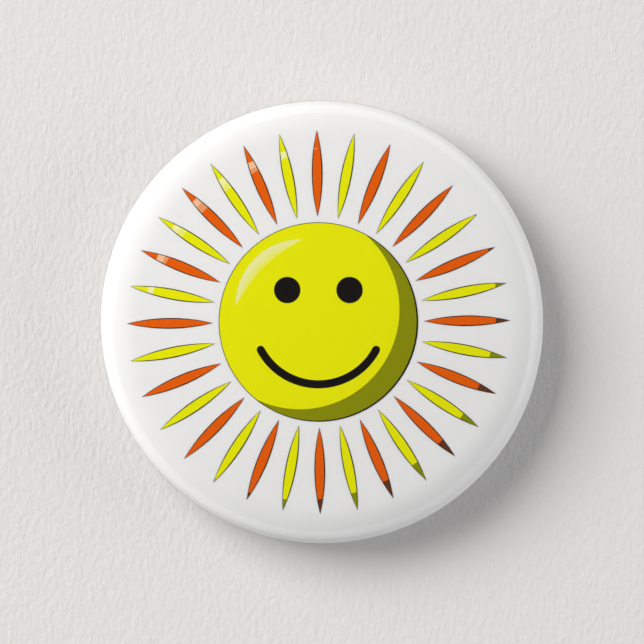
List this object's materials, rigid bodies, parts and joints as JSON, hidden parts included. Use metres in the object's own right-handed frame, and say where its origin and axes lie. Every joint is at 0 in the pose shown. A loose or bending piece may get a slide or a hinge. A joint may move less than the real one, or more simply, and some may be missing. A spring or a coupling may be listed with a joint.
{
  "type": "button badge",
  "caption": "Round domed pin-back badge with a printed sun under clear film and a hinged safety pin behind it.",
  "frame": {"origin": "on the closed needle's axis, where the badge's own axis crosses it", "axes": "+X along the needle from its hinge to its point, which is to the right seen from the front; -Y out of the printed front; +Z towards the top of the print"},
  "size_m": [0.0572, 0.01, 0.0572],
  "materials": {
    "clear_film": "gloss",
    "paper": "coated",
    "ink_yellow": "printed",
    "ink_olive": "printed",
    "ink_orange": "printed",
    "ink_brown": "printed",
    "ink_pale": "printed",
    "ink_black": "printed",
    "tinplate": "satin",
    "nickel_plate": "bright",
    "steel_wire": "bright"
  },
  "bodies": {
    "badge": {"film": "clear_film", "print_paper": "paper", "ink_sun": "ink_yellow", "ink_sun_shade": "ink_olive", "ink_rays_orange": "ink_orange", "ink_rays_yellow": "ink_yellow", "ink_tips_brown": "ink_brown", "ink_tips_olive": "ink_olive", "ink_gloss": "ink_pale", "ink_face": "ink_black", "ink_lines": "ink_black", "front_shell": "tinplate", "back_plate": "tinplate", "pin_bar": "nickel_plate", "bar_rivets": "nickel_plate", "catch_housing": "nickel_plate", "hinge_rivet": "steel_wire"},
    "needle_arm": {"needle": "steel_wire"},
    "catch": {"catch_roller": "nickel_plate"}
  },
  "joints": [
    {"name": "needle_swing", "type": "hinge", "parent": "badge", "child": "needle_arm", "pos_m": [-0.0144, 0, 0], "axis": [0, 0, 1], "range_deg": [0, 100]},
    {"name": "catch_turn", "type": "hinge", "parent": "badge", "child": "catch", "pos_m": [0.0132, 0, 0], "axis": [1, 0, 0], "range_deg": [0, 90]}
  ]
}
